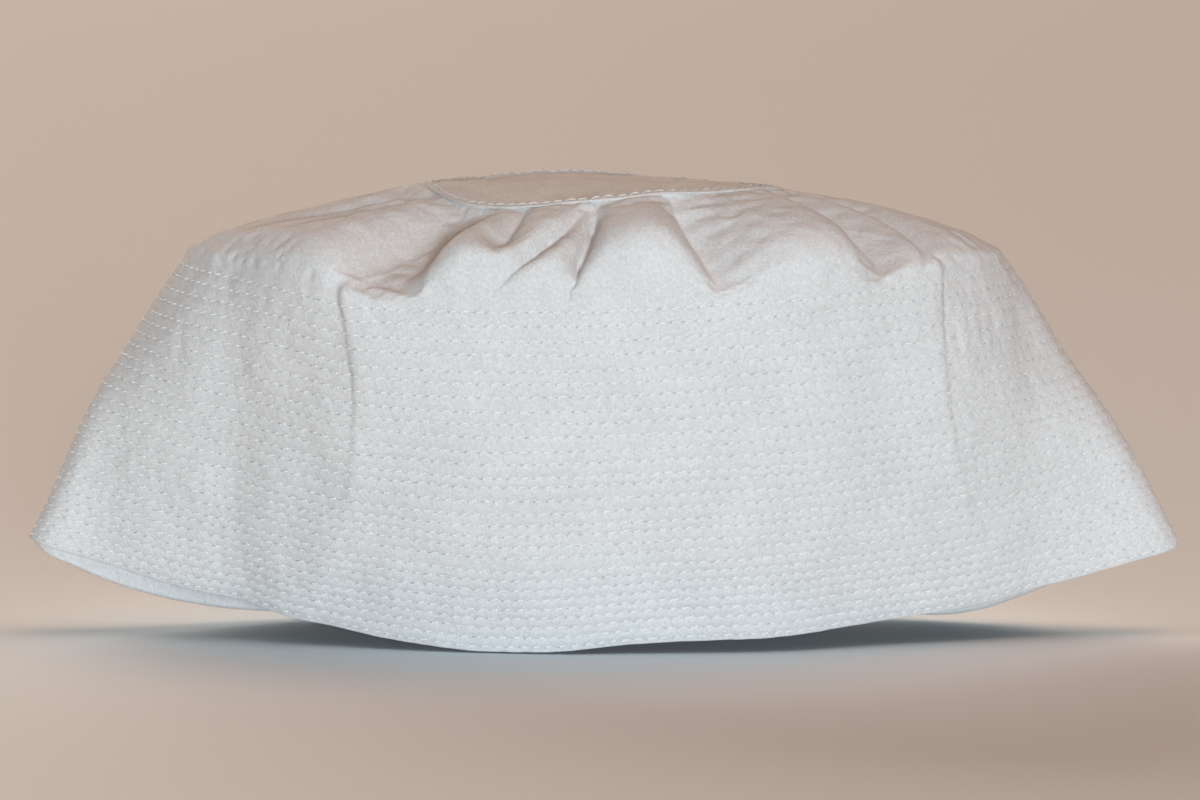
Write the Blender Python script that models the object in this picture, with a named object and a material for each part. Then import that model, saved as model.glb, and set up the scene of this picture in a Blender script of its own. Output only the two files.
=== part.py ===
"""A low quilted cotton cap, standing on its hem and part-flattened from front to back.

One cone-shaped outer panel makes both the band and the soft crown. The band is stiffened by an
interlining and a lining that are quilted to it by rows of machine stitches, and the crown is
gathered into a small flat disc. Metres, +Z up, X across the wide way, the front facing -Y, and
z = 0 under the lowest part of the hem.
"""

import math

import bpy
import numpy as np

MM = 0.001

# The closed line of the hem seen from above: a pinched lens with rounded ends.
HEM_HALF_WIDTH = 135.0 * MM
HEM_HALF_DEPTH = 40.0 * MM
HEM_END_RADIUS = 5.0 * MM
# The hem lies flat in the middle of the front and back and rises to the two ends.
HEM_FLAT_HALF_WIDTH = 25.0 * MM
HEM_END_LIFT = 21.5 * MM
HEM_LIFT_POWER = 1.6

# The line where the quilting stops and the soft crown starts. It is less pinched than the hem, so
# the front and the back of the band lean outwards.
BAND_TOP_HALF_WIDTH = 99.2 * MM
BAND_TOP_HALF_DEPTH = 62.0 * MM
BAND_TOP_Z = 81.0 * MM
BAND_TOP_SIDE_RISE = 9.0 * MM

# The middle of the crown's curve, from the band to the disc.
CROWN_BEND_HALF_WIDTH = 86.0 * MM
CROWN_BEND_HALF_DEPTH = 72.0 * MM
CROWN_BEND_Z = 102.0 * MM
CROWN_BEND_SIDE_RISE = -2.5 * MM
CROWN_STEPS = (0.14, 0.30, 0.46, 0.62, 0.77, 0.90, 1.0)
PLEAT_DEPTH = 5.0 * MM
PLEAT_START_POWER = 1.3  # how slowly the pleats deepen above the band
PLEAT_END_POWER = 8  # how suddenly they close at the disc

# The flat disc that the crown is gathered into.
DISC_RADIUS = 42.0 * MM
DISC_EDGE_Z = 104.6 * MM
DISC_DOME = 1.6 * MM
DISC_BACKING_RADIUS = 41.0 * MM
DISC_RINGS = 4
SEAM_ALLOWANCE = 6.0 * MM

# Thicknesses of the cloth layers, and the space left between neighbours.
SHELL_THICKNESS = 0.6 * MM
INTERLINING_THICKNESS = 1.0 * MM
LINING_THICKNESS = 0.5 * MM
GAP = 0.3 * MM
HEM_TURN_UP = 8.0 * MM

# Sewing thread, and the rows of quilting that it makes round the band.
THREAD_RADIUS = 0.18 * MM
THREAD_SIDES = 3
QUILTING_ROWS = 28
HEM_ROW_HEIGHT = 1.2 * MM
FIRST_ROW_BELOW_TOP = 1.7 * MM
ROW_CROWDING = 0.055
TOPSTITCH_INSET = 1.7 * MM
GATHER_INSET = 3.5 * MM

STATIONS = 48
QUARTER = STATIONS // 4
BAND_STEPS = 6
TURN_WEIGHT = 20.0 * MM
LENS_POINTS = 400


def clear_scene():
    for obj in list(bpy.data.objects):
        bpy.data.objects.remove(obj)


def named_collection(name):
    found = bpy.data.collections.new(name)
    bpy.context.scene.collection.children.link(found)
    return found


def cloth_material(name, color, roughness):
    made = bpy.data.materials.new(name)
    made.use_nodes = True
    shader = made.node_tree.nodes["Principled BSDF"]
    shader.inputs["Base Color"].default_value = (*color, 1.0)
    shader.inputs["Roughness"].default_value = roughness
    shader.inputs["Sheen Weight"].default_value = 0.3
    return made


def evenly_turned(points, count):
    """count + 1 points of a line, closer together where the line turns."""
    steps = np.diff(points, axis=0)
    lengths = np.linalg.norm(steps, axis=1)
    headings = np.unwrap(np.arctan2(steps[:, 1], steps[:, 0]))
    turns = np.abs(np.diff(headings, append=headings[-1]))
    measure = np.concatenate([[0.0], np.cumsum(lengths + TURN_WEIGHT * turns)])
    wanted = np.linspace(0.0, measure[-1], count + 1)
    return np.stack([np.interp(wanted, measure, points[:, axis]) for axis in (0, 1)], axis=1)


def mirrored_round(quarter):
    """The whole closed line, counter-clockwise from +X, from its +X to +Y quarter."""
    ahead = quarter[:-1]
    back = quarter[:0:-1] * (-1, 1)
    half = np.concatenate([ahead, back])
    return np.concatenate([half, -half])


def hem_plan():
    ends_at = HEM_HALF_WIDTH - HEM_END_RADIUS
    turn = np.linspace(0.0, math.pi / 2, LENS_POINTS)
    end = np.stack([ends_at + HEM_END_RADIUS * np.cos(turn), HEM_END_RADIUS * np.sin(turn)], axis=1)
    x = np.linspace(ends_at, 0.0, LENS_POINTS)
    belly = (HEM_HALF_DEPTH - HEM_END_RADIUS) * (1 - (x / ends_at) ** 2) ** 2
    side = np.stack([x, HEM_END_RADIUS + belly], axis=1)
    return mirrored_round(evenly_turned(np.concatenate([end, side[1:]]), QUARTER))


def ellipse_plan(half_width, half_depth):
    turn = np.linspace(0.0, math.pi / 2, LENS_POINTS)
    quarter = np.stack([half_width * np.cos(turn), half_depth * np.sin(turn)], axis=1)
    return mirrored_round(evenly_turned(quarter, QUARTER))


def hem_line():
    plan = hem_plan()
    past_flat = np.maximum(np.abs(plan[:, 0]) - HEM_FLAT_HALF_WIDTH, 0.0)
    share = past_flat / (HEM_HALF_WIDTH - HEM_FLAT_HALF_WIDTH)
    return np.column_stack([plan, HEM_END_LIFT * share**HEM_LIFT_POWER])


def band_top_line():
    plan = ellipse_plan(BAND_TOP_HALF_WIDTH, BAND_TOP_HALF_DEPTH)
    side_share = (plan[:, 0] / BAND_TOP_HALF_WIDTH) ** 2
    return np.column_stack([plan, BAND_TOP_Z + BAND_TOP_SIDE_RISE * side_share])


def crown_bend_line(band_top):
    scaled = band_top[:, :2] / (BAND_TOP_HALF_WIDTH, BAND_TOP_HALF_DEPTH)
    plan = scaled * (CROWN_BEND_HALF_WIDTH, CROWN_BEND_HALF_DEPTH)
    return np.column_stack([plan, CROWN_BEND_Z + CROWN_BEND_SIDE_RISE * scaled[:, 0] ** 2])


def disc_underside(radius):
    return DISC_EDGE_Z + DISC_DOME * (1 - (radius / DISC_RADIUS) ** 2)


def disc_ring(radius, below):
    """A level circle of stations under the disc, at a distance below its underside."""
    turn = np.linspace(0.0, 2 * math.pi, STATIONS, endpoint=False)
    height = np.full(STATIONS, disc_underside(radius) - below)
    return np.column_stack([radius * np.cos(turn), radius * np.sin(turn), height])


def unit(vectors):
    return vectors / np.linalg.norm(vectors, axis=1)[:, None]


def outward(ring, climb):
    """The way out of the cloth at each station, long enough to move both its facets by one."""
    ahead = unit(np.cross(np.roll(ring, -1, axis=0) - ring, climb))
    behind = unit(np.cross(ring - np.roll(ring, 1, axis=0), climb))
    middle = unit(ahead + behind)
    return middle / np.sum(middle * ahead, axis=1)[:, None]


class Band:
    """The ruled surface between the hem and the top of the quilting."""

    def __init__(self):
        self.hem = hem_line()
        self.top = band_top_line()
        self.climb = self.top - self.hem
        self.height = np.linalg.norm(self.climb, axis=1)[:, None]

    def ring(self, share, depth=0.0, lift=0.0):
        """The stations at a share of the way up, sunk inwards by depth, raised by lift."""
        flat = self.hem + share * self.climb
        raised = flat + self.climb / self.height * lift
        return raised - depth * outward(flat, self.climb)

    def hem_ring(self, depth, lift=0.0):
        """The foot of a layer, cut off level with the hem or at a height above it."""
        sunk = self.ring(0.0, depth)
        missing = self.hem[:, 2] + lift - sunk[:, 2]
        return sunk + self.climb * (missing / self.climb[:, 2])[:, None]


def crown_rings(band_top):
    """The pleated rings of the crown's outer surface, from above the band to the disc's edge."""
    bend = crown_bend_line(band_top)
    edge = disc_ring(DISC_RADIUS, GAP)
    valley = np.arange(STATIONS) % 2
    rings = []
    for share in CROWN_STEPS:
        ring = (1 - share) ** 2 * band_top + 2 * share * (1 - share) * bend + share**2 * edge
        depth = PLEAT_DEPTH * share**PLEAT_START_POWER * (1 - share**PLEAT_END_POWER)
        ring[:, 2] -= depth * valley
        rings.append(ring)
    return rings


def sunk_rings(rings, depth):
    """The rings moved into the cloth by a depth. Each one's climb is to the ring after it."""
    sunk = []
    for number, ring in enumerate(rings[:-1]):
        below = rings[max(number - 1, 0)]
        sunk.append(ring - depth * outward(ring, rings[number + 1] - below))
    return sunk


def ring_solid(name, sections, material, collection):
    """A closed ring whose sections, one for each station, are joined to the next one round.

    Each four-sided patch is split the same way on every layer, so that twisted layers stay apart.
    """
    stations, corners = sections.shape[:2]
    at = np.arange(stations * corners).reshape(stations, corners)
    after, beside = np.roll(at, -1, axis=0), np.roll(at, -1, axis=1)
    both = np.roll(after, -1, axis=1)
    heights = sections[:, :, 2].mean(axis=0)
    rising = np.roll(heights, -1) > heights
    mirrored = (np.arange(stations) // QUARTER) % 2 == 1
    across = (rising[None, :] != mirrored[:, None])[..., None]
    first = np.where(across, np.stack([at, after, both], 2), np.stack([at, after, beside], 2))
    second = np.where(across, np.stack([at, both, beside], 2), np.stack([after, both, beside], 2))
    faces = np.concatenate([first.reshape(-1, 3), second.reshape(-1, 3)])
    return mesh_object(name, sections.reshape(-1, 3), faces.tolist(), material, collection)


def strand_solid(name, sections, material, collection):
    """An open strand: the sections joined one after another, with both ends closed."""
    count, corners = sections.shape[:2]
    at = np.arange(count * corners).reshape(count, corners)
    beside = np.roll(at, -1, axis=1)
    faces = np.stack([at[:-1], at[1:], beside[1:], beside[:-1]], axis=2).reshape(-1, 4).tolist()
    faces += [at[0].tolist(), at[-1, ::-1].tolist()]
    return mesh_object(name, sections.reshape(-1, 3), faces, material, collection)


def mesh_object(name, points, faces, material, collection):
    mesh = bpy.data.meshes.new(name)
    mesh.from_pydata(points.tolist(), [], faces)
    mesh.materials.append(material)
    mesh.validate()
    turn_outwards(mesh)
    made = bpy.data.objects.new(name, mesh)
    collection.objects.link(made)
    return made


def turn_outwards(mesh):
    """Turns every face round if the closed mesh encloses a negative volume."""
    mesh.calc_loop_triangles()
    corners = np.array([[mesh.vertices[i].co for i in t.vertices] for t in mesh.loop_triangles])
    if np.linalg.det(corners).sum() < 0:
        mesh.flip_normals()


def thread_sections(line, out, up):
    """Round sections of thread along a line, given two directions across it."""
    around = 2 * math.pi * np.arange(THREAD_SIDES) / THREAD_SIDES
    return np.stack(
        [line + THREAD_RADIUS * (math.cos(a) * out + math.sin(a) * up) for a in around], axis=1
    )


def make_outer_panel(band, crown, material, collection):
    """Band and crown in one cloth, turned up inside along the hem."""
    turn_up_depth = SHELL_THICKNESS + INTERLINING_THICKNESS + LINING_THICKNESS + 3 * GAP
    shares = np.linspace(0.0, 1.0, BAND_STEPS + 1)[1:]
    outer_band = [band.ring(share) for share in shares]
    allowance = DISC_RADIUS - SEAM_ALLOWANCE
    outside = outer_band + crown
    inside = sunk_rings(outside, SHELL_THICKNESS)
    inside.append(disc_ring(DISC_RADIUS, GAP + SHELL_THICKNESS))
    loop = [band.hem_ring(0.0)]
    loop += outside
    loop += [disc_ring(allowance, GAP), disc_ring(allowance, GAP + SHELL_THICKNESS)]
    loop += inside[::-1]
    loop += [band.hem_ring(SHELL_THICKNESS, SHELL_THICKNESS)]
    loop += [band.hem_ring(turn_up_depth, SHELL_THICKNESS)]
    loop += [band.ring(0.0, turn_up_depth, HEM_TURN_UP)]
    loop += [band.ring(0.0, turn_up_depth + SHELL_THICKNESS, HEM_TURN_UP)]
    loop += [band.hem_ring(turn_up_depth + SHELL_THICKNESS)]
    ring_solid("outer_panel", np.stack(loop, axis=1), material, collection)


def make_band_layer(name, band, depth, thickness, material, collection):
    """An inner layer of the band, standing on the turned hem and ending at the first row."""
    foot = SHELL_THICKNESS + GAP
    shares = np.linspace(0.0, 1.0, BAND_STEPS + 1)[1:]
    sides = []
    for side_depth in (depth, depth + thickness):
        sides.append([band.hem_ring(side_depth, foot)] + [band.ring(s, side_depth) for s in shares])
    loop = sides[0] + sides[1][::-1]
    ring_solid(name, np.stack(loop, axis=1), material, collection)


def make_disc(name, radius, below, material, collection):
    """A round cloth disc, slightly domed, with its upper side at a distance below the dome."""
    upper = [disc_ring(radius * step / DISC_RINGS, below) for step in range(1, DISC_RINGS + 1)]
    lower = [ring - (0.0, 0.0, SHELL_THICKNESS) for ring in upper]
    points = np.concatenate(upper + lower[::-1])
    count = 2 * DISC_RINGS
    at = np.arange(count * STATIONS).reshape(count, STATIONS)
    after = np.roll(at, -1, axis=1)
    faces = np.stack([at[:-1], after[:-1], after[1:], at[1:]], axis=2).reshape(-1, 4).tolist()
    faces += [at[0, ::-1].tolist(), at[-1].tolist()]
    mesh_object(name, points, faces, material, collection)


def row_shares():
    """How far up the band each row of quilting is: rows crowd together toward the hem."""
    height = BAND_TOP_Z
    lowest, highest = HEM_ROW_HEIGHT / height, 1 - FIRST_ROW_BELOW_TOP / height
    order = np.arange(1, QUILTING_ROWS + 1) / QUILTING_ROWS
    crowded = order - ROW_CROWDING * np.sin(math.pi * order)
    return (lowest + (highest - lowest) * crowded)[::-1]


def make_band_thread(name, band, share, material, collection):
    line = band.ring(share, -(GAP + THREAD_RADIUS))
    climb = band.climb / band.height
    sections = thread_sections(line, unit(outward(line, climb)), climb)
    ring_solid(name, sections, material, collection)


def make_disc_thread(name, radius, below, material, collection):
    line = disc_ring(radius, below)
    out = line * (1, 1, 0) / radius
    sections = thread_sections(line, out, np.array([[0.0, 0.0, 1.0]]))
    ring_solid(name, sections, material, collection)


def make_back_seam_thread(crown, material, collection):
    """The seam that closes the panel into a ring, seen inside the crown at centre back."""
    sunk = sunk_rings(crown, SHELL_THICKNESS + GAP + THREAD_RADIUS)
    line = np.array([ring[QUARTER] for ring in sunk])
    sideways = np.array([[1.0, 0.0, 0.0]])
    along = np.gradient(line, axis=0)
    sections = thread_sections(line, unit(np.cross(along, sideways)), sideways)
    strand_solid("back_seam_thread", sections, material, collection)


def build():
    clear_scene()
    cap = named_collection("quilted_cap")
    shell_cotton = cloth_material("shell_cotton", (0.80, 0.80, 0.80), 0.85)
    disc_cotton = cloth_material("disc_cotton", (0.80, 0.79, 0.78), 0.85)
    interlining_felt = cloth_material("interlining_cotton", (0.76, 0.74, 0.70), 0.95)
    lining_cotton = cloth_material("lining_cotton", (0.78, 0.80, 0.83), 0.80)
    backing_cotton = cloth_material("disc_backing_cotton", (0.78, 0.79, 0.81), 0.85)
    thread = cloth_material("sewing_thread", (0.86, 0.87, 0.88), 0.60)

    band = Band()
    crown = crown_rings(band.top)
    make_outer_panel(band, crown, shell_cotton, cap)
    interlining_depth = SHELL_THICKNESS + GAP
    lining_depth = interlining_depth + INTERLINING_THICKNESS + GAP
    make_band_layer(
        "band_interlining", band, interlining_depth, INTERLINING_THICKNESS, interlining_felt, cap
    )
    make_band_layer("band_lining", band, lining_depth, LINING_THICKNESS, lining_cotton, cap)

    disc_top = -SHELL_THICKNESS
    make_disc("crown_disc", DISC_RADIUS, disc_top, disc_cotton, cap)
    under_allowance = GAP + SHELL_THICKNESS
    gather_below = under_allowance + GAP + THREAD_RADIUS
    backing_below = gather_below + THREAD_RADIUS + GAP
    make_disc("disc_backing", DISC_BACKING_RADIUS, backing_below, backing_cotton, cap)
    make_disc_thread("gathering_thread", DISC_RADIUS - GATHER_INSET, gather_below, thread, cap)
    topstitch_below = disc_top - GAP - THREAD_RADIUS
    make_disc_thread("disc_topstitch", DISC_RADIUS - TOPSTITCH_INSET, topstitch_below, thread, cap)
    make_back_seam_thread(crown, thread, cap)

    for number, share in enumerate(row_shares(), start=1):
        make_band_thread(f"quilting_row_{number:02d}", band, share, thread, cap)
    make_band_thread("hem_edge_stitch", band, HEM_ROW_HEIGHT / BAND_TOP_Z, thread, cap)


build()
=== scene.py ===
"""The looks of the quilted cotton cap: its cloth, its stitches, its light and its camera.

The band is a stiff quilted wall between two measured lines, the hem and the top of the quilting.
The crown is a gathered strip of the same cloth, relaxed by Blender's cloth simulation between the
band and the small top disc. Lengths are in millimetres here until a mesh is made.
"""

import math

import bmesh
import bpy
import numpy as np
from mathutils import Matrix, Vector


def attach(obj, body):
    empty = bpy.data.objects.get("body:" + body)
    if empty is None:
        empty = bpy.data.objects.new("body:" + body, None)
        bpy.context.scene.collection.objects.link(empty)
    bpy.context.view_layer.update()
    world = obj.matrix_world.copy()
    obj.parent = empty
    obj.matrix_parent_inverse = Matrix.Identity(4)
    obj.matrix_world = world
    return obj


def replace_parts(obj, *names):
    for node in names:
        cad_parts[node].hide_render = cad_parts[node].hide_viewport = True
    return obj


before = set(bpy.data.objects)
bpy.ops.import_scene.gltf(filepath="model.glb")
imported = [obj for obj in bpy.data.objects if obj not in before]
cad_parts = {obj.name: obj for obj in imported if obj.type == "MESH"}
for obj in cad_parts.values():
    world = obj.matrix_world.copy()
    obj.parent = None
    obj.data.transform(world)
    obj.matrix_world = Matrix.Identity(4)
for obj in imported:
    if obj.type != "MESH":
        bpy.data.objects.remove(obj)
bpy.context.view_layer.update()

MM = 0.001

# ---------------------------------------------------------------- the cap's main lines
STATIONS = 840  # points round every ring of the outer panel, counter-clockwise from +X
HALF = STATIONS // 2
BACK_MIDDLE = STATIONS // 4
HEM_HALF_WIDTH = 135.6
HEM_HALF_DEPTH = 40.0
HEM_END_RADIUS = 5.5
# The hem touches the floor near its middle and lifts toward its ends: each lift starts at an x and
# grows toward the left (-1) or the right (1), over a width, to a height, by a power.
HEM_LIFTS = (
    (-25.0, -1, 110.6, 21.5, 1.6),
    (-13.0, 1, 148.6, 10.0, 1.2),
    (60.0, 1, 75.6, 10.0, 1.8),
)
# The back hem hangs a little lower than the front one: (middle x, half-width, drop).
BACK_HEM_DROOPS = ((-101.0, 42.0, 7.0), (84.0, 24.0, 6.2))

TOP_HALF_WIDTH_LEFT = 99.0
TOP_HALF_WIDTH_RIGHT = 93.5
TOP_HALF_DEPTH = 61.0
TOP_Z = 81.2
# How the band's top rises toward its ends, given like the hem's lifts.
TOP_LIFTS = (
    (0.0, 1, 93.5, 6.6, 1.2),
    (0.0, -1, 61.0, 1.2, 2.0),
    (-59.0, -1, 40.0, 4.4, 0.7),
)
BAND_BELLY = 2.6  # how far the band bows outwards between its two edges

# Where the band was folded flat: lines pressed into it, each with the x of its middle, how strongly
# it bows and the height of its bend. The back's also have a depth.
LEFT_CREASE = (-56.6, -0.0052, 60.0)
RIGHT_CREASE = (76.6, 0.0031, 83.0)
BACK_CREASES = (((-66.0, 0.004, 60.0), 1.8), ((58.0, -0.003, 60.0), 2.3))
# Broad upright swells and hollows, each a (middle x, half-width, height).
FRONT_SWELLS = (
    (-106.0, 9.0, 1.0),
    (-86.0, 7.0, -1.6),
    (-28.0, 15.0, 0.7),
    (8.0, 13.0, -0.5),
    (42.0, 15.0, 0.7),
    (62.0, 9.0, -0.4),
    (101.0, 7.0, -0.6),
    (115.0, 8.0, 0.5),
)
BACK_SWELLS = ((-100.0, 9.0, -0.8), (-20.0, 14.0, 0.8), (25.0, 12.0, -0.6), (92.0, 9.0, 0.8))
FOLDS_TOP = 85.0  # the height at which the creases are deepest
FOLDS_START = (2.0, 14.0)  # how far from the cap's middle line the folds begin and are whole
PUCKER_SPACING = 3.3  # between the small puckers at the top of the right crease
# The band's own unevenness: height, wavelength, how much the way up counts (less than 1 makes it
# longer upwards) and seed.
BAND_UNEVENNESS = ((0.55, 42.0, 1.0, 5), (0.16, 9.0, 0.45, 6), (0.07, 4.5, 0.7, 7))

DISC_RADIUS = 42.0
DISC_CENTRE_Y = 2.0
DISC_MIDDLE_Z = 105.4
# How high the seam round the disc lies, every 30 degrees from the middle of the front, toward the right.
SEAM_HEIGHTS = (103.2, 105.0, 105.0, 103.9, 103.8, 104.6, 106.1, 106.1, 105.7, 105.2, 103.2, 101.2)
DISC_EDGE_RIDGE = 0.45
DISC_DOME = 0.6
DISC_OVERLAP = 0.5  # how far the disc's folded edge reaches past the seam
DISC_LIFT = 0.15
DISC_LIP = 0.45  # the height of the disc's folded edge
TOPSTITCH_INSET = 1.3
BACKING_RADIUS = 41.0
BACKING_DROP = 2.4
GATHERING_INSET = 3.5
GATHERING_DROP = 1.5
# The crown's edge goes on under the disc: how far in from the seam, and how far below it.
CROWN_TUCK = ((1.5, 0.5), (5.0, 0.7))

# ---------------------------------------------------------------- cloth and thread
QUILTING_ROWS = 28
HEM_ROW_HEIGHT = 0.9
FIRST_ROW_BELOW_TOP = 1.7
BAND_HEIGHT = 80.0
ROW_CROWDING = 0.055  # rows lie closer together toward the hem
ROW_WANDER = 0.45
STITCH_LENGTH = 2.95
FIRST_ROW_SEED = 100
TOPSTITCH_SEED = 71
GATHERING_SEED = 72
THREAD_RADIUS = 0.21
TOPSTITCH_RADIUS = 0.23
THREAD_END_SHARE = 0.55  # a stitch's ends are this much of its thickness
GROOVE_DEPTH = 0.36
STITCH_LIFT = 0.34  # how far a stitch rises out of its groove
PUFF_HEIGHT = 0.16
RING_SHARES = (0.0, 0.15, 0.38, 0.62, 0.85)  # the rings from one row to the next
RING_RELIEF = (-1.0, -0.1, 0.8, 0.8, -0.1)  # -1 is the groove's bottom, 1 the top of the puff

# How far under the outer face each inner layer lies, and the shares of the band's height it spans.
INTERLINING_DEPTHS = (0.75, 1.65)
INTERLINING_SPAN = (0.014, 0.985)
LINING_DEPTH = 2.0
LINING_SPAN = (0.012, 0.992)
TURN_UP_DEPTH = 2.6
HEM_TURN_UP = 8.0
ROWS_IN_TURN_UP = 3  # these go through the turn-up and never reach the lining
HEM_FOLD_DROP = 0.6

# ---------------------------------------------------------------- the crown's simulation
CROWN_GROWTH = 0.012  # how much longer than its first shape the cloth wants to be
SIM_SKIP = 2  # the simulated crown has one station for every two of the panel's
RING_REFINING = 3
SIM_RINGS = 30
SIM_UNIT = 0.01  # one millimetre in the simulation
SIM_FRAMES = 24
SOFT_HOLD = 0.3  # how strongly the swells are kept near their first shape
CROWN_RIPPLE = 0.10  # the small unevenness of the crown's cloth, after the simulation

# ---------------------------------------------------------------- floor, camera and finish
FLOOR_SIZE = 800.0  # metres, so that it ends at the horizon
FLOOR_DROP = 0.0004  # metres
CAMERA_ELEVATION = 5.0  # degrees
CAMERA_DISTANCE = 1.10  # metres, like those below
CAMERA_TARGET = (-0.0012, 0.0, 0.0545)
SEEN_WIDTH = 0.2832  # how much the picture's width takes in at the target
CAMERA_SENSOR = 36.0  # millimetres
LINT = 0.12  # how much the finest flecks change the cloth's lightness


# ================================================================ small tools
def unit(vectors):
    return vectors / np.linalg.norm(vectors, axis=-1, keepdims=True)


def smooth_step(low, high, value):
    t = np.clip((value - low) / (high - low), 0.0, 1.0)
    return t * t * (3 - 2 * t)


def hill(value, middle, half_width):
    """1 at the middle, falling smoothly to 0 past the half-width."""
    return np.exp(-(((value - middle) / half_width) ** 2))


def crease(value, left_width, right_width):
    """A sharp line of height 1 at 0 that dies away over its own width on each side."""
    width = np.where(value < 0, left_width, right_width)
    return np.exp(-(np.sqrt(value**2 + 0.25) - 0.5) / width)


def waviness(points, wavelength, seed, waves=14):
    """A seeded smooth unevenness over space, about -1 to 1, with no seam round a ring."""
    chance = np.random.default_rng(seed)
    total = np.zeros(points.shape[:-1])
    for _ in range(waves):
        heading = unit(chance.normal(size=3))
        turns = 2 * math.pi / (wavelength * chance.uniform(0.7, 1.5))
        total += np.sin(points @ heading * turns + chance.uniform(0, 2 * math.pi))
    return total / math.sqrt(waves)


def evenly_spaced(points, count):
    """count + 1 points, equally far apart along an open line."""
    lengths = np.linalg.norm(np.diff(points, axis=0), axis=1)
    along = np.concatenate([[0.0], np.cumsum(lengths)])
    wanted = np.linspace(0.0, along[-1], count + 1)
    return np.stack([np.interp(wanted, along, points[:, k]) for k in range(points.shape[1])], axis=1)


def ring_lengths(ring):
    """How far each point of a closed ring is along it, and the ring's whole length."""
    steps = np.linalg.norm(np.roll(ring, -1, axis=0) - ring, axis=1)
    return np.concatenate([[0.0], np.cumsum(steps)[:-1]]), steps.sum()


def grid_normals(grid):
    """The outward unit normals of a grid of rings that rise one above the other."""
    along = np.roll(grid, -1, axis=1) - np.roll(grid, 1, axis=1)
    up = np.gradient(grid, axis=0)
    return unit(np.cross(along, up))


def finer(grid, times, axis, closed):
    """The grid with extra points between its own ones along an axis, on smooth curves."""
    rows = np.moveaxis(grid, axis, 0)
    if closed:
        before, after, beyond = np.roll(rows, 1, 0), np.roll(rows, -1, 0), np.roll(rows, -2, 0)
        start = rows
    else:
        start, after = rows[:-1], rows[1:]
        before = np.concatenate([2 * rows[:1] - rows[1:2], rows[:-2]])
        beyond = np.concatenate([rows[2:], 2 * rows[-1:] - rows[-2:-1]])
    pieces = []
    for step in range(times):
        t = step / times
        curve = 2 * start + (after - before) * t
        curve += (2 * before - 5 * start + 4 * after - beyond) * t**2
        curve += (3 * start - before - 3 * after + beyond) * t**3
        pieces.append(curve / 2)
    dense = np.stack(pieces, axis=1).reshape(-1, *rows.shape[1:])
    if not closed:
        dense = np.concatenate([dense, rows[-1:]])
    return np.moveaxis(dense, 0, axis)


# ================================================================ the band
def half_hem_plan():
    """The hem seen from above, from the +X end round the back to the -X end."""
    ends_at = HEM_HALF_WIDTH - HEM_END_RADIUS
    turn = np.linspace(0.0, math.pi / 2, 60)
    right_end = np.stack(
        [ends_at + HEM_END_RADIUS * np.cos(turn), HEM_END_RADIUS * np.sin(turn)], axis=1
    )
    x = np.linspace(ends_at, -ends_at, 800)[1:-1]
    belly = (HEM_HALF_DEPTH - HEM_END_RADIUS) * (1 - (x / ends_at) ** 2) ** 2
    side = np.stack([x, HEM_END_RADIUS + belly], axis=1)
    left_end = right_end[::-1] * (-1, 1)
    return evenly_spaced(np.concatenate([right_end, side, left_end]), HALF)


def half_top_plan():
    """The band's top seen from above, given like the hem."""
    turn = np.linspace(0.0, math.pi, 1200)
    half_width = np.where(np.cos(turn) > 0, TOP_HALF_WIDTH_RIGHT, TOP_HALF_WIDTH_LEFT)
    line = np.stack([half_width * np.cos(turn), TOP_HALF_DEPTH * np.sin(turn)], axis=1)
    return evenly_spaced(line, HALF)


def whole_plan(half):
    """The closed line made of the back half and its mirror image in front."""
    front = half[::-1] * (1, -1)
    return np.concatenate([half[:-1], front[:-1]])


def lifted(x, lifts):
    """The sum of the lifts at each x: every one starts somewhere and grows to one side."""
    z = np.zeros_like(x)
    for start, way, width, height, power in lifts:
        z += height * (np.maximum(way * (x - start), 0.0) / width) ** power
    return z


def hem_line():
    plan = whole_plan(half_hem_plan())
    z = lifted(plan[:, 0], HEM_LIFTS)
    behind = smooth_step(-1.0, 7.0, plan[:, 1])
    for middle, half_width, drop in BACK_HEM_DROOPS:
        z -= drop * behind * hill(plan[:, 0], middle, half_width)
    return np.column_stack([plan, np.maximum(z, 0.0) + HEM_FOLD_DROP])


def top_line():
    plan = whole_plan(half_top_plan())
    return np.column_stack([plan, TOP_Z + lifted(plan[:, 0], TOP_LIFTS)])


def right_of(line, x, z):
    """How far each x lies to the right of a pressed line: its x, its bow, and the height of its bend."""
    middle, bow, height = line
    return x - (middle + bow * (z - height) ** 2)


def front_folds(x, z):
    """How far the front of the band stands out, from its pressed creases and its swells.

    Each crease is a corner with a small step along it, and both fade toward the hem.
    """
    top_down = np.clip(z / FOLDS_TOP, 0.0, 1.0)
    left = right_of(LEFT_CREASE, x, z)
    relief = 4.5 * crease(left, 12.0, 26.0) * top_down**0.6
    relief -= 2.0 * crease(left, 5.0, 0.7) * top_down**1.5
    right = right_of(RIGHT_CREASE, x, z)
    relief += 3.0 * crease(right, 24.0, 11.0) * top_down
    relief -= 1.7 * crease(right, 0.5, 9.0) * top_down**1.8
    beside = smooth_step(0.0, 3.0, right) * (1 - smooth_step(12.0, 17.0, right))
    level = smooth_step(66.0, 72.0, z) * (1 - smooth_step(77.0, 81.0, z))
    relief += 0.12 * np.sin(right * 2 * math.pi / PUCKER_SPACING) * beside * level
    for middle, half_width, height in FRONT_SWELLS:
        relief += height * hill(x, middle, half_width)
    return relief


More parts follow.
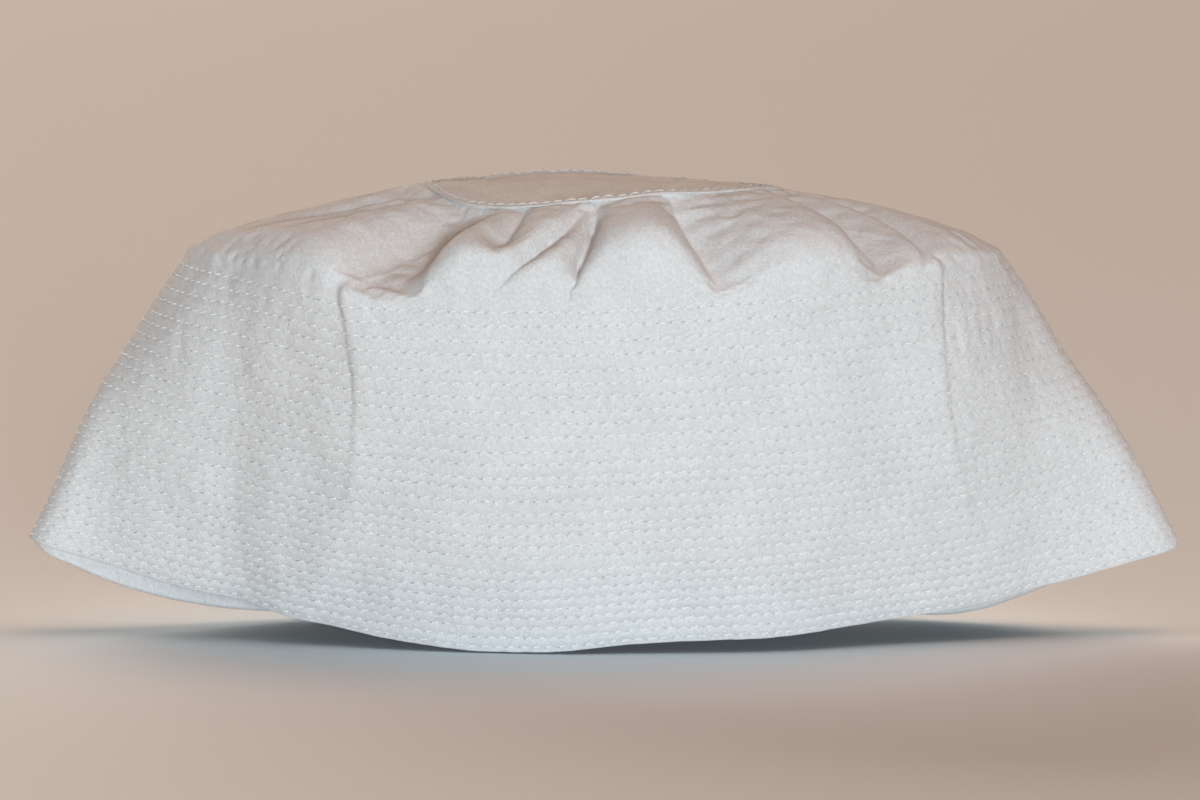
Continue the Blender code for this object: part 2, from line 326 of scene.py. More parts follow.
def back_folds(x, z):
    """The same for the back, which was folded along two lines of its own."""
    top_down = np.clip(z / FOLDS_TOP, 0.0, 1.0)
    relief = np.zeros_like(x)
    for line, depth in BACK_CREASES:
        away = right_of(line, x, z)
        relief -= depth * crease(away, 1.2, 1.6) * top_down
        relief -= 0.5 * depth * hill(away, 6.0, 8.0)
        relief += 0.4 * depth * hill(away, -6.0, 5.0)
    for middle, half_width, height in BACK_SWELLS:
        relief += height * hill(x, middle, half_width)
    return relief


class Band:
    """The quilted wall: any ring of it, at any depth under the outer face."""

    def __init__(self):
        self.hem = hem_line()
        self.top = top_line()
        self.climb = self.top - self.hem

    def smooth(self, shares):
        """The bowed surface with no folds. shares is (rings, stations), 0 at the hem."""
        flat = self.hem + shares[..., None] * self.climb
        along = np.roll(flat, -1, axis=1) - np.roll(flat, 1, axis=1)
        level = unit(np.cross(along, (0.0, 0.0, 1.0)))
        return flat + (BAND_BELLY * 4 * shares * (1 - shares))[..., None] * level

    def surface(self, shares, depth=0.0, relief=0.0):
        """Points of a layer and the outward normals there."""
        shares = np.broadcast_to(shares, (len(shares), STATIONS))
        points = self.smooth(shares)
        above = self.smooth(shares + 0.01)
        along = np.roll(points, -1, axis=1) - np.roll(points, 1, axis=1)
        normals = unit(np.cross(along, above - points))
        x, y, z = np.moveaxis(points, -1, 0)
        front = smooth_step(*FOLDS_START, -y)
        back = smooth_step(*FOLDS_START, y)
        folds = front * front_folds(x, z) + back * back_folds(x, z)
        for height, wavelength, squash, seed in BAND_UNEVENNESS:
            folds += height * waviness(points * (1.0, 1.0, squash), wavelength, seed)
        out = folds + relief - depth
        return points + out[..., None] * normals, normals


def row_shares():
    """How far up the band each row of stitches runs at every station, from the hem upwards."""
    lowest = HEM_ROW_HEIGHT / BAND_HEIGHT
    highest = 1 - FIRST_ROW_BELOW_TOP / BAND_HEIGHT
    order = np.arange(QUILTING_ROWS + 1) / QUILTING_ROWS
    mean = lowest + (highest - lowest) * (order - ROW_CROWDING * np.sin(math.pi * order))
    chance = np.random.default_rng(11)
    turn = 2 * math.pi * np.arange(STATIONS) / STATIONS
    rows = []
    for share, calm in zip(mean, np.sin(math.pi * order) ** 0.3):
        drift = chance.uniform(-0.5, 0.5)
        for waves in (1, 2, 3, 5):
            drift = drift + np.sin(waves * turn + chance.uniform(0, 2 * math.pi)) / (1 + waves)
        rows.append(share + ROW_WANDER * calm * drift / BAND_HEIGHT)
    return np.array(rows)


class StitchRow:
    """One closed row of lockstitches: where each stitch is along the row's own length."""

    def __init__(self, ring, normals, seed):
        self.ring, self.normals = ring, normals
        self.along, self.length = ring_lengths(ring)
        self.count = round(self.length / STITCH_LENGTH)
        self.offset = np.random.default_rng(seed).uniform()

    def phase(self):
        """How many stitches have gone by at each station."""
        return self.along / self.length * self.count + self.offset

    def at(self, stitches):
        """Points and normals at numbers of stitches along the row."""
        wanted = ((stitches - self.offset) / self.count) % 1.0 * self.length
        known = np.append(self.along, self.length)
        found = []
        for values in (self.ring, self.normals):
            closed = np.concatenate([values, values[:1]])
            found.append(np.stack([np.interp(wanted, known, closed[:, k]) for k in range(3)], axis=-1))
        return found[0], unit(found[1])


# ================================================================ the crown
# Gathers that run from the band up to the disc. Each has its place at the band and at the disc, in
# degrees from the middle of the front toward the right, its left and right half-widths in degrees,
# its depth, how pointed its bottom is (1 is a sharp pleat, 2 a round hollow), and the share of the
# way up at which it starts.
GATHERS = (
    (-86.0, -92.0, 3.0, 5.0, 0.5, 1.2, 0.3),
    (-73.5, -76.0, 4.0, 4.0, 0.6, 1.2, 0.45),
    (-62.0, -69.0, 2.5, 4.0, 0.6, 1.0, 0.5),
    (-33.0, -45.0, 9.0, 9.0, 1.0, 3.0, 0.0),
    (-14.0, -25.0, 3.0, 5.0, 0.7, 1.3, 0.45),
    (-17.5, -5.0, 2.5, 4.5, 0.6, 1.1, 0.0),
    (-4.4, -2.0, 2.4, 2.8, 0.9, 1.0, 0.0),
    (20.7, 20.0, 4.0, 11.0, 1.0, 1.4, 0.0),
    (46.7, 64.0, 5.0, 8.0, 1.0, 1.4, 0.0),
    (54.6, 80.0, 1.8, 2.5, 0.4, 1.0, 0.0),
    (78.0, 98.0, 4.0, 7.0, 0.5, 1.4, 0.3),
    (104.0, 106.0, 4.0, 8.0, 0.8, 1.3, 0.0),
    (124.0, 128.0, 5.0, 4.0, 0.6, 1.3, 0.2),
    (142.0, 148.0, 5.0, 9.0, 0.95, 1.6, 0.0),
    (160.0, 163.0, 3.0, 3.5, 0.5, 1.1, 0.2),
    (178.0, 176.0, 9.0, 5.0, 0.95, 1.6, 0.0),
    (200.0, 196.0, 3.0, 5.0, 0.7, 1.2, 0.1),
    (219.0, 214.0, 10.0, 5.0, 1.0, 1.6, 0.0),
    (240.0, 236.0, 4.0, 4.0, 0.6, 1.1, 0.2),
    (257.0, 255.0, 5.0, 7.0, 0.75, 1.4, 0.0),
)


def seam_height(turn):
    """The height of the seam round the disc, smooth between the given heights."""
    waves = np.fft.rfft(SEAM_HEIGHTS) / len(SEAM_HEIGHTS)
    height = np.full_like(turn, waves[0].real)
    for order in range(1, len(waves) - 1):
        height += 2 * (waves[order] * np.exp(1j * order * turn)).real
    return height


def disc_height(points):
    """How high the disc's cloth lies over any point near the disc."""
    x, y = points[..., 0], points[..., 1] - DISC_CENTRE_Y
    share = np.minimum(np.hypot(x, y) / DISC_RADIUS, 1.0) ** 2
    edge = seam_height(np.arctan2(x, -y))
    flat = points * (1.0, 1.0, 0.0)
    return DISC_MIDDLE_Z + share * (edge - DISC_MIDDLE_Z) + 0.3 * waviness(flat, 26.0, seed=21)


def station_degrees(count):
    """Degrees from the middle of the front, toward the right, of evenly spread stations."""
    return (360.0 * np.arange(count) / count + 90.0) % 360.0


def disc_ring(radius, count, rise=0.0):
    turn = np.radians(station_degrees(count) - 90.0)
    ring = np.column_stack([radius * np.cos(turn), DISC_CENTRE_Y + radius * np.sin(turn), 0.0 * turn])
    ring[:, 2] = disc_height(ring) + rise
    return ring


def gather_depth(degrees, share):
    """From 0 on a swell to about 1 in a valley, at a share of the way from the band to the disc."""
    swell = np.ones_like(degrees)
    for low, high, left_width, right_width, strength, point, start in GATHERS:
        away = (degrees - low - (high - low) * share + 180.0) % 360.0 - 180.0
        half_width = np.where(away < 0, left_width, right_width) * (0.85 + 0.5 * share)
        begun = 1.0 if start == 0 else smooth_step(start - 0.2, start + 0.2, share)
        swell *= 1 - strength * begun * np.exp(-((np.abs(away) / half_width) ** point))
    return 1 - swell


def crown_guess(top, climb):
    """The crown's rough shape: swells that bow out over the band and valleys between them.

    Every station's line is a cubic curve from the band's top to the disc, steered by two points in
    between. Each steering point stands off by a length that differs between the front and the sides.
    """
    count = len(top)
    half_width = np.where(top[:, 0] > 0, TOP_HALF_WIDTH_RIGHT, TOP_HALF_WIDTH_LEFT)
    side = ((np.abs(top[:, 0]) / half_width) ** 4)[:, None]
    end = disc_ring(DISC_RADIUS, count)
    out = unit((top - (0.0, DISC_CENTRE_Y, 0.0)) * (1, 1, 0))
    out_low = unit(np.cross(np.roll(top, -1, 0) - np.roll(top, 1, 0), (0.0, 0.0, 1.0)))
    up = np.array([[0.0, 0.0, 1.0]])

    def blend(front, at_side):
        return front * (1 - side) + at_side * side

    swell_low = top + blend(19.0, 7.0) * climb + blend(3.0, 0.0) * out_low
    swell_high = end + blend(19.0, 25.0) * out + blend(-1.0, -1.5) * up
    valley_low = top + blend(4.0, 2.0) * climb + blend(-2.0, -7.0) * out_low
    valley_high = end + blend(9.0, 14.0) * out + blend(-12.0, -8.0) * up
    degrees = station_degrees(count)
    rings = []
    for t in np.linspace(0.0, 1.0, SIM_RINGS + 1):
        depth = gather_depth(degrees, t)[:, None]
        low = swell_low + depth * (valley_low - swell_low)
        high = swell_high + depth * (valley_high - swell_high)
        rings.append((1 - t) ** 3 * top + 3 * t * (1 - t) ** 2 * low + 3 * t**2 * (1 - t) * high + t**3 * end)
    return np.array(rings)


def grid_faces(rings, stations):
    """The squares between closed rings that follow one another."""
    here = np.arange(rings * stations).reshape(rings, stations)
    there = np.roll(here, -1, axis=1)
    return np.stack([here[:-1], there[:-1], there[1:], here[1:]], axis=2).reshape(-1, 4)


def relaxed_crown(guess):
    """The crown after Blender's cloth has let it out, so that it buckles into folds of its own."""
    rings, stations = guess.shape[:2]
    mesh = bpy.data.meshes.new("crown_cloth")
    mesh.from_pydata((guess.reshape(-1, 3) * SIM_UNIT).tolist(), [], grid_faces(rings, stations).tolist())
    cloth = bpy.data.objects.new("crown_cloth", mesh)
    bpy.context.scene.collection.objects.link(cloth)

    held = cloth.vertex_groups.new(name="held")
    count = rings * stations
    held.add(list(range(2 * stations)) + list(range(count - stations, count)), 1.0, "REPLACE")
    held.add(list(range(2 * stations, count - stations)), SOFT_HOLD, "REPLACE")

    modifier = cloth.modifiers.new("cloth", "CLOTH")
    settings = modifier.settings
    settings.vertex_group_mass = held.name
    settings.quality = 6
    settings.shrink_min = -CROWN_GROWTH
    settings.mass = 0.15
    settings.tension_stiffness = 20.0
    settings.compression_stiffness = 20.0
    settings.shear_stiffness = 6.0
    settings.bending_stiffness = 5.0
    settings.air_damping = 3.0
    settings.effector_weights.gravity = 0.1
    modifier.collision_settings.use_self_collision = False
    modifier.point_cache.frame_start = 1
    modifier.point_cache.frame_end = SIM_FRAMES
    scene = bpy.context.scene
    for frame_number in range(1, SIM_FRAMES + 1):
        scene.frame_set(frame_number)
    evaluated = cloth.evaluated_get(bpy.context.evaluated_depsgraph_get())
    shaped = evaluated.to_mesh()
    flat = np.empty(count * 3, np.float32)
    shaped.vertices.foreach_get("co", flat)
    evaluated.to_mesh_clear()
    bpy.data.objects.remove(cloth)
    scene.frame_set(1)
    return flat.reshape(rings, stations, 3).astype(float) / SIM_UNIT


# ================================================================ meshes
def smooth_piece(name, mesh, material):
    """A new object that rides on the cap's one body."""
    mesh.shade_smooth()
    mesh.materials.append(material)
    made = bpy.data.objects.new(name, mesh)
    bpy.context.scene.collection.objects.link(made)
    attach(made, "root")
    return made


def sheet_piece(name, points, faces, uv, material):
    mesh = bpy.data.meshes.new(name)
    mesh.from_pydata((points.reshape(-1, 3) * MM).tolist(), [], faces.tolist())
    layer = mesh.uv_layers.new(name="cloth")
    layer.data.foreach_set("uv", uv.astype(np.float32).reshape(-1))
    return smooth_piece(name, mesh, material)


def cloth_piece(name, grid, material):
    """A closed ring of cloth, with its own lengths round and up as the weave's coordinates."""
    rings, stations = grid.shape[:2]
    round_length = np.linalg.norm(np.roll(grid, -1, axis=1) - grid, axis=2).sum(axis=1).max()
    steps = np.linalg.norm(np.diff(grid, axis=0), axis=2).mean(axis=1)
    up = np.concatenate([[0.0], np.cumsum(steps)]) * MM
    across = np.arange(stations + 1) / stations * round_length * MM
    u = np.stack([across[:-1], across[1:], across[1:], across[:-1]], axis=1)
    u = np.broadcast_to(u, (rings - 1, stations, 4))
    v = np.stack([up[:-1], up[:-1], up[1:], up[1:]], axis=1)[:, None, :]
    uv = np.stack([u, np.broadcast_to(v, u.shape)], axis=-1)
    return sheet_piece(name, grid, grid_faces(rings, stations), uv, material)


def weld(mesh):
    """Joins the points that lie on each other, which closes a slab whose last ring is its first."""
    shape = bmesh.new()
    shape.from_mesh(mesh)
    bmesh.ops.remove_doubles(shape, verts=shape.verts, dist=1e-6)
    shape.to_mesh(mesh)
    shape.free()


def disc_piece(name, rings, material):
    """A round of cloth from rings that grow outwards, with flat coordinates for the weave."""
    stations = rings.shape[1]
    faces = grid_faces(len(rings), stations)
    uv = rings.reshape(-1, 3)[faces][:, :, :2] * MM
    return sheet_piece(name, rings, faces, uv, material)


def thread_points(paths, normals, radius, sides):
    """Points round every thread, (stitches, steps, sides, 3), drawn in at its two ends."""
    along = unit(np.gradient(paths, axis=1))
    across = unit(np.cross(along, normals))
    lift = np.cross(across, along)
    taper = np.ones(paths.shape[1])
    taper[0] = taper[-1] = THREAD_END_SHARE
    rims = []
    for turn in 2 * math.pi * np.arange(sides) / sides:
        way = math.cos(turn) * across + math.sin(turn) * lift
        rims.append(paths + radius * taper[None, :, None] * way)
    return np.stack(rims, axis=2)


def thread_piece(name, paths, normals, radius, material, sides=5):
    """Short lengths of thread: paths is (stitches, points, 3) with outward normals alike."""
    points = thread_points(paths, normals, radius, sides)
    stitches, steps = paths.shape[:2]
    at = np.arange(stitches * steps * sides).reshape(stitches, steps, sides)
    beside = np.roll(at, -1, axis=2)
    walls = np.stack([at[:, :-1], beside[:, :-1], beside[:, 1:], at[:, 1:]], axis=3).reshape(-1, 4)
    ends = at[:, 0, ::-1].tolist() + at[:, -1].tolist()
    mesh = bpy.data.meshes.new(name)
    mesh.from_pydata((points.reshape(-1, 3) * MM).tolist(), [], walls.tolist() + ends)
    # along_stitch, shifted at random for each stitch, is where the thread's painted shade turns to its
    # painted highlight.
    shift = np.random.default_rng(stitches).uniform(-0.15, 0.15, (stitches, 1, 1))
    share = (np.linspace(0, 1, steps)[None, :, None] + shift + np.zeros(at.shape)).astype(np.float32)
    mesh.attributes.new("along_stitch", "FLOAT", "POINT").data.foreach_set("value", share.reshape(-1))
    made = smooth_piece(name, mesh, material)
    return made


def stitch_paths(row, sunk, lift, reach=0.80, steps=7, slant=0.0):
    """The visible length of each stitch: it lies low, rises toward its end and dives into the cloth.

    The slant is how far its end lies above its start, along the cloth.
    """
    share = np.linspace(0.0, 1.0, steps)[None, :]
    chance = np.random.default_rng(row.count)
    first = np.arange(row.count)[:, None] + chance.normal(0.0, 0.02, (row.count, 1))
    long = reach * chance.uniform(0.88, 1.08, (row.count, 1))
    points, normals = row.at(first + (1 - long) / 2 + long * share)
    along = unit(points[:, -1:] - points[:, :1])
    above = np.cross(normals, along)
    rise = sunk + lift * chance.uniform(0.75, 1.25, (row.count, 1)) * np.sin(math.pi * share**1.3) ** 0.6
    lean = slant * chance.uniform(0.5, 1.5, (row.count, 1)) * (share - 0.5)
    drift = chance.normal(0.0, 0.05, (row.count, 1)) * np.ones_like(share)
    points = points + rise[..., None] * normals + (lean + drift)[..., None] * above
    return points, normals


# ================================================================ materials
class Material:
    """A Principled material, with short calls for the nodes that drive it."""

    def __init__(self, name, color, values):
        self.made = bpy.data.materials.new(name)
        self.made.use_nodes = True
        self.tree = self.made.node_tree
        self.shader = self.tree.nodes["Principled BSDF"]
        self.shader.inputs["Base Color"].default_value = (*color, 1.0)
        for setting, value in values.items():
            self.shader.inputs[setting].default_value = value
        self.place = self.node("ShaderNodeTexCoord")

    def node(self, kind, values=()):
        made = self.tree.nodes.new(kind)
        for setting, value in dict(values).items():
            made.inputs[setting].default_value = value
        return made

    def link(self, start, end):
        self.tree.links.new(start, end)

    def drive(self, setting, value):
        self.link(value, self.shader.inputs[setting])

    def noise(self, scale, detail):
        made = self.node("ShaderNodeTexNoise", {"Scale": scale, "Detail": detail})
        self.link(self.place.outputs["Object"], made.inputs["Vector"])
        return made.outputs["Fac"]

    def bands(self, direction, space, values):
        made = self.node("ShaderNodeTexWave", values)
        made.wave_type, made.bands_direction = "BANDS", direction
        self.link(self.place.outputs[space], made.inputs["Vector"])
        return made.outputs

    def sum(self, first, second):
        made = self.node("ShaderNodeMath")
        made.operation = "ADD"
        self.link(first, made.inputs[0])
        self.link(second, made.inputs[1])
        return made.outputs[0]

    def scaled(self, color, factor):
        made = self.node("ShaderNodeVectorMath")
        made.operation = "SCALE"
        self.link(color, made.inputs["Vector"])
        self.link(factor, made.inputs["Scale"])
        return made.outputs["Vector"]

    def spread(self, value, given, wanted):
        """The value moved from one range, given as (low, high), to another."""
        ranges = {"From Min": given[0], "From Max": given[1], "To Min": wanted[0], "To Max": wanted[1]}
        made = self.node("ShaderNodeMapRange", ranges)
        self.link(value, made.inputs["Value"])
        return made.outputs["Result"]

    def ramp(self, value, *stops):
        """A blend between two stops, each a (place, color)."""
        made = self.node("ShaderNodeValToRGB")
        for element, (place, color) in zip(made.color_ramp.elements, stops):
            element.position = place
            element.color = (*color, 1.0)
        self.link(value, made.inputs["Fac"])
        return made.outputs["Color"]

    def bump(self, height, strength, distance, under=None):
        made = self.node("ShaderNodeBump", {"Strength": strength, "Distance": distance})
        self.link(height, made.inputs["Height"])
        if under is not None:
            self.link(under, made.inputs["Normal"])
        return made.outputs["Normal"]


def cotton(name, color, weave=0.22, mottle=0.06):
    """Cotton cloth: a fine diagonal rib, puckers, lint, and slight unevenness of colour and gloss."""
    finish = {"Roughness": 0.85, "Sheen Weight": 0.08, "Sheen Roughness": 0.5, "Specular IOR Level": 0.25}
    cloth = Material(name, color, finish)
    rib = cloth.bands("DIAGONAL", "UV", {"Scale": 420.0, "Distortion": 1.2, "Detail": 1.0})
    weft = cloth.bands("X", "UV", {"Scale": 640.0, "Distortion": 0.8})
    slub = cloth.noise(900.0, 3.0)
    height = cloth.sum(cloth.sum(rib["Fac"], weft["Fac"]), slub)
    puckers = cloth.bump(cloth.noise(330.0, 2.0), 0.7, 0.0005)
    cloth.drive("Normal", cloth.bump(height, weave, 0.00012, puckers))

    dark = tuple(part * (1 - mottle) for part in color)
    tint = cloth.ramp(cloth.noise(70.0, 5.0), (0.3, dark), (0.7, color))
    lint = cloth.spread(cloth.noise(1500.0, 2.0), (0.3, 0.7), (1 - LINT, 1 + LINT / 2))
    cloth.drive("Base Color", cloth.scaled(tint, lint))
    cloth.drive("Roughness", cloth.spread(slub, (0.0, 1.0), (0.78, 0.92)))
    return cloth.made


def sewing_thread(name, shade_painted_color, highlight_painted_color):
    """Twisted thread, painted darker along most of each stitch as the shade of its groove, with a painted
    highlight near the stitch's end.
    """
    thread = Material(name, shade_painted_color, {"Roughness": 0.55, "Sheen Weight": 0.2})
    along = thread.node("ShaderNodeAttribute")
    along.attribute_name = "along_stitch"
    # Painted shade over the first part of each stitch, a painted highlight over the rest.
    painted_light_tone = thread.ramp(along.outputs["Fac"], (0.30, shade_painted_color), (0.45, highlight_painted_color))
    twist = thread.bands("DIAGONAL", "Object", {"Scale": 900.0, "Distortion": 2.0})
    ply = thread.node("ShaderNodeMix")
    ply.data_type, ply.blend_type = "RGBA", "MULTIPLY"
    ply.inputs["Factor"].default_value = 0.25
    thread.link(painted_light_tone, ply.inputs["A"])
    thread.link(twist["Color"], ply.inputs["B"])
    thread.drive("Base Color", ply.outputs["Result"])
    thread.drive("Normal", thread.bump(twist["Fac"], 0.4, 0.0001))
    return thread.made


# ================================================================ the pieces
def make_outer_panel(band, rows, stitch_rows, crown, material):
    """Turn-up, hem fold, quilted band and crown, in one cloth."""
    parts = []
    up_shares = np.linspace(HEM_TURN_UP / BAND_HEIGHT, 0.0, 8)[:, None]
    parts.append(band.surface(up_shares, TURN_UP_DEPTH)[0])
    fold = []
    outer, normals = band.surface(np.zeros((1, 1)))
    for turn in np.linspace(math.pi, 0.0, 7)[1:-1]:
        depth = TURN_UP_DEPTH / 2 * (1 - math.cos(turn))
        ring = outer[0] - depth * normals[0]
        fold.append(ring - (0.0, 0.0, HEM_FOLD_DROP * math.sin(turn)))
    parts.append(np.array(fold))
    shares, relief = band_rings(rows, stitch_rows)
    quilted, _ = band.surface(shares, 0.0, relief)
    parts.append(quilted)
    parts.append(crown)
    tuck = [disc_ring(DISC_RADIUS - inset, STATIONS, -drop) for inset, drop in CROWN_TUCK]
    parts.append(np.array(tuck))
    return cloth_piece("outer_panel_cloth", np.concatenate(parts), material)


def band_rings(rows, stitch_rows):
    """The shares of the outer panel's rings in the band, and how far each point is raised."""
    shares, relief = [np.zeros(STATIONS)], [np.zeros(STATIONS)]
    for number, row in enumerate(rows):
        last = number == len(rows) - 1
        after = np.ones(STATIONS) if last else rows[number + 1]
        phase = stitch_rows[number].phase()
        bridge = 0.5 + 0.5 * np.cos(2 * math.pi * phase)
        flatness = 0.7 + 0.3 * number / QUILTING_ROWS  # the rows nearest the hem are pressed flatter
        for share, height in zip(RING_SHARES, RING_RELIEF):
            shares.append(row + share * (after - row))
            if height < 0:
                raised = height * GROOVE_DEPTH * (1 - 0.85 * bridge**2)
            else:
                raised = height * PUFF_HEIGHT * np.ones(STATIONS)
            relief.append(raised * (0.4 if last and share > 0 else flatness))
    shares.append(np.ones(STATIONS))
    relief.append(np.zeros(STATIONS))
    return np.array(shares), np.array(relief)


def make_inner_layers(band, interlining_cloth, lining_cloth):
    """The lining, one smooth cloth, and the interlining, a thin closed slab in front of it."""
    lining = band.surface(np.linspace(*LINING_SPAN, 90)[:, None], LINING_DEPTH)[0]
    lining_made = cloth_piece("band_lining_cloth", lining, lining_cloth)
    shares = np.linspace(*INTERLINING_SPAN, 40)[:, None]
    outside = band.surface(shares, INTERLINING_DEPTHS[0])[0]
    inside = band.surface(shares, INTERLINING_DEPTHS[1])[0][::-1]
    slab = np.concatenate([outside, inside, outside[:1]])
    interlining_made = cloth_piece("band_interlining_pad", slab, interlining_cloth)
    weld(interlining_made.data)
    return lining_made, interlining_made


def disc_surface(count, rise, radius, ridge):
    """Rings of a round of cloth, from its middle outwards, with a rolled seam along its edge."""
    radii = np.concatenate([np.linspace(0.02, radius - 5.0, 34), np.linspace(radius - 4.6, radius, 16)])
    rings = np.array([disc_ring(r, count, rise) for r in radii])
    share = (radii / radius)[:, None]
    rings[..., 2] += DISC_DOME * (1 - share**2)
    edge = ridge * (hill(radii, radius - 0.9, 0.9) - 0.6 * hill(radii, radius - 2.6, 0.8))
    rings[..., 2] += edge[:, None]
    inside_edge = smooth_step(0.0, 2.0, radius - radii)[:, None]
    rings[..., 2] += 0.2 * waviness(rings * (1, 1, 0), 6.5, seed=22) * inside_edge
    return rings


def make_disc(disc_cloth, backing_cloth, thread):
    """The disc with its folded edge, its backing, its topstitching and the gathering thread."""
    radius = DISC_RADIUS + DISC_OVERLAP
    rings = disc_surface(STATIONS // 2, DISC_LIFT, radius, DISC_EDGE_RIDGE)
    middle = np.array((0.0, DISC_CENTRE_Y, 0.0))
    under = rings[-1:] - (0.0, 0.0, DISC_LIP)
    inside = under + unit((middle - under) * (1, 1, 0)) * 1.2
    disc_made = disc_piece("crown_disc_cloth", np.concatenate([rings, under, inside]), disc_cloth)
    backing = disc_surface(STATIONS // 4, -BACKING_DROP, BACKING_RADIUS, 0.0)
    backing_made = disc_piece("disc_backing_cloth", backing, backing_cloth)

    distance = np.linalg.norm(rings[:, 0] * (1, 1, 0) - middle, axis=1)
    beside_edge = rings[np.argmin(np.abs(distance - (radius - TOPSTITCH_INSET)))]
    up = np.broadcast_to((0.0, 0.0, 1.0), beside_edge.shape)
    row = StitchRow(beside_edge, up, TOPSTITCH_SEED)
    paths, normals = stitch_paths(row, -0.08, 0.28, reach=0.94, slant=0.8)
    topstitch = thread_piece("disc_topstitch_thread", paths, normals, TOPSTITCH_RADIUS, thread)
    gather_ring = disc_ring(DISC_RADIUS - GATHERING_INSET, STATIONS, -GATHERING_DROP)
    up = np.broadcast_to((0.0, 0.0, 1.0), gather_ring.shape)
    paths, normals = stitch_paths(StitchRow(gather_ring, up, GATHERING_SEED), 0.0, 0.1)
    gathering = thread_piece("gathering_thread_stitches", paths, normals, THREAD_RADIUS, thread, sides=4)
    return disc_made, backing_made, topstitch, gathering


def make_back_seam(crown, thread):
    """Running stitches inside the crown at centre back, where the panel's ends are joined."""
    inward = -grid_normals(crown)
    line = crown[6:-6, BACK_MIDDLE] + 0.25 * inward[6:-6, BACK_MIDDLE]
    outward = inward[6:-6, BACK_MIDDLE]
    along = np.concatenate([[0.0], np.cumsum(np.linalg.norm(np.diff(line, axis=0), axis=1))])
    count = int(along[-1] / STITCH_LENGTH)
    share = np.linspace(0.1, 0.9, 6)
    place = (np.arange(count)[:, None] + share) / count * along[-1]
    points = np.stack([np.interp(place, along, line[:, k]) for k in range(3)], axis=-1)
    normals = unit(np.stack([np.interp(place, along, outward[:, k]) for k in range(3)], axis=-1))
    points = points + (0.15 * np.sin(math.pi * share))[None, :, None] * normals
    return thread_piece("back_seam_stitches", points, normals, THREAD_RADIUS, thread)


def make_bobbin_stitches(band, rows, thread):
    """The other side of every row of quilting, lying on the lining."""
    rings, normals = band.surface(rows[ROWS_IN_TURN_UP:], LINING_DEPTH)
    lines, outs = [], []
    for number, (ring, normal) in enumerate(zip(rings, normals)):
        row = StitchRow(ring, -normal, FIRST_ROW_SEED + number)
        points, out = stitch_paths(row, 0.02, 0.14, steps=5)
        lines.append(points)
        outs.append(out)
    return thread_piece(
        "bobbin_stitches", np.concatenate(lines), np.concatenate(outs), THREAD_RADIUS, thread, sides=4
    )


# ================================================================ light and camera
def area_light(name, place, target, size, power, color):
    """A round lamp that lights the cap but isn't seen itself."""
    light = bpy.data.lights.new(name, "AREA")
    light.shape, light.size = "DISK", size
    light.energy, light.color = power, color
    made = bpy.data.objects.new(name, light)
    made.location = place
    made.rotation_euler = (Vector(target) - Vector(place)).to_track_quat("-Z", "Y").to_euler()
    made.visible_camera = False
    bpy.context.scene.collection.objects.link(made)


def make_camera():
    elevation = math.radians(CAMERA_ELEVATION)
    target = Vector(CAMERA_TARGET)
    camera = bpy.data.cameras.new("camera")
    camera.sensor_width = CAMERA_SENSOR
    camera.lens = CAMERA_SENSOR * CAMERA_DISTANCE / SEEN_WIDTH
    made = bpy.data.objects.new("camera", camera)
    made.location = target + Vector((0.0, -math.cos(elevation), math.sin(elevation))) * CAMERA_DISTANCE
    made.rotation_euler = (target - made.location).to_track_quat("-Z", "Y").to_euler()
    bpy.context.scene.collection.objects.link(made)
    bpy.context.scene.camera = made


def make_floor():
    bpy.ops.mesh.primitive_plane_add(size=FLOOR_SIZE, location=(0.0, 0.0, -FLOOR_DROP))
    floor = bpy.context.object
    floor.name = "floor"
    paper = Material("floor_paper", (0.85, 0.93, 0.98), {"Roughness": 0.9})
    grain = paper.node("ShaderNodeTexNoise", {"Scale": 220.0})
    paper.drive("Normal", paper.bump(grain.outputs["Fac"], 0.05, 0.0002))
    floor.data.materials.append(paper.made)


def sun_light(name, heading, strength, softness, color):
    """A wide even light along a heading; its softness is in degrees."""
    light = bpy.data.lights.new(name, "SUN")
    light.energy, light.angle, light.color = strength, math.radians(softness), color
    made = bpy.data.objects.new(name, light)
    made.rotation_euler = Vector(heading).to_track_quat("-Z", "Y").to_euler()
    bpy.context.scene.collection.objects.link(made)


def make_light():
    """A soft cool light in front and two warm ones, overhead and behind."""
    area_light(
        "front_light",
        place=(0.34, -2.98, 0.20),
        target=(0.0, 0.0, 0.06),
        size=0.5,
        power=74.0,
        color=(0.87, 0.945, 0.99),
    )
    sun_light("top_light", (-0.25, -0.15, -1.0), strength=0.85, softness=45.0, color=(1.0, 0.52, 0.29))
    sun_light("back_light", (0.45, -1.0, -0.20), strength=2.6, softness=50.0, color=(1.0, 0.90, 0.80))
    world = bpy.data.worlds.new("studio")
    world.use_nodes = True
    back = world.node_tree.nodes["Background"]
    back.inputs["Color"].default_value = (1.0, 0.90, 0.82, 1.0)
    back.inputs["Strength"].default_value = 0.10
    bpy.context.scene.world = world
    bpy.context.scene.view_settings.view_transform = "Standard"


# ================================================================ the whole
def declare_cloth(piece, node):
    """Hides the CAD part that a cloth stands for."""
    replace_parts(piece, node)


def make_crown(band):
    """The crown's rings above the band's top, relaxed and then made fine."""
    top, _ = band.surface(np.ones((1, 1)))
    crown = crown_guess(top[0, ::SIM_SKIP], unit(band.climb)[::SIM_SKIP])
    crown = relaxed_crown(crown)
    crown = finer(finer(crown, RING_REFINING, axis=0, closed=False), SIM_SKIP, axis=1, closed=True)
    crown = crown[1:]
    return crown + (CROWN_RIPPLE * waviness(crown, 7.0, seed=31))[..., None] * grid_normals(crown)


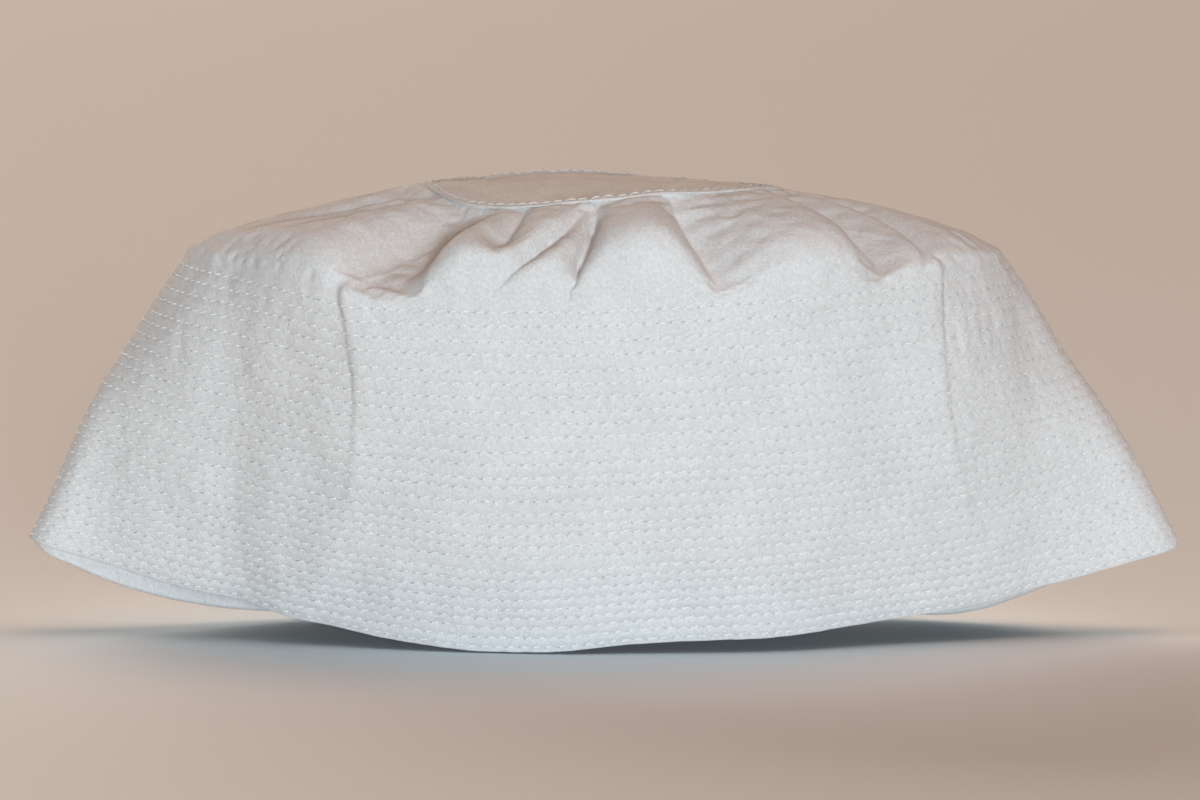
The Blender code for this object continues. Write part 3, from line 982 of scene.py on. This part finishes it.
def make_cloths(band, rows, stitch_rows, crown):
    """The outer panel and the two layers behind the band."""
    shell_cotton = cotton("shell_cotton_twill", (0.72, 0.73, 0.74))
    lining_cotton = cotton("lining_plain_cotton", (0.74, 0.77, 0.82), weave=0.2)
    interlining_felt = cotton("interlining_felt", (0.74, 0.72, 0.68), weave=0.6)
    outer = make_outer_panel(band, rows, stitch_rows, crown, shell_cotton)
    declare_cloth(outer, "outer_panel")
    lining, interlining = make_inner_layers(band, interlining_felt, lining_cotton)
    declare_cloth(lining, "band_lining")
    declare_cloth(interlining, "band_interlining")


def make_top():
    """The disc, the backing under it and the threads that hold the crown to it."""
    disc_cotton = cotton("disc_cotton_twill", (0.72, 0.71, 0.70), mottle=0.12)
    backing_cotton = cotton("backing_plain_cotton", (0.76, 0.77, 0.79), weave=0.2)
    # The two colours are each stitch's painted shade and painted highlight.
    thread = sewing_thread("white_topstitch_thread", (0.64, 0.62, 0.59), (0.82, 0.80, 0.77))
    disc, backing, topstitch, gathering = make_disc(disc_cotton, backing_cotton, thread)
    declare_cloth(disc, "crown_disc")
    declare_cloth(backing, "disc_backing")
    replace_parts(topstitch, "disc_topstitch")
    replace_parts(gathering, "gathering_thread")


def make_stitching(band, rows, stitch_rows, crown):
    """The back seam, and both sides of the quilting."""
    # The two colours are each stitch's painted shade and painted highlight.
    thread = sewing_thread("white_thread", (0.64, 0.66, 0.68), (0.98, 0.98, 0.98))
    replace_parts(make_back_seam(crown, thread), "back_seam_thread")
    make_bobbin_stitches(band, rows, thread)
    for number, row in enumerate(stitch_rows):
        node = "hem_edge_stitch" if number == 0 else f"quilting_row_{QUILTING_ROWS + 1 - number:02d}"
        paths, out = stitch_paths(row, -GROOVE_DEPTH, STITCH_LIFT, reach=0.92, slant=0.5)
        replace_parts(thread_piece(f"{node}_stitches", paths, out, THREAD_RADIUS, thread), node)


def build():
    make_camera()
    make_floor()
    make_light()
    band = Band()
    rows = row_shares()
    rings, normals = band.surface(rows)
    stitch_rows = []
    for number, (ring, normal) in enumerate(zip(rings, normals)):
        stitch_rows.append(StitchRow(ring, normal, FIRST_ROW_SEED + number))
    crown = make_crown(band)
    make_cloths(band, rows, stitch_rows, crown)
    make_top()
    make_stitching(band, rows, stitch_rows, crown)


build()
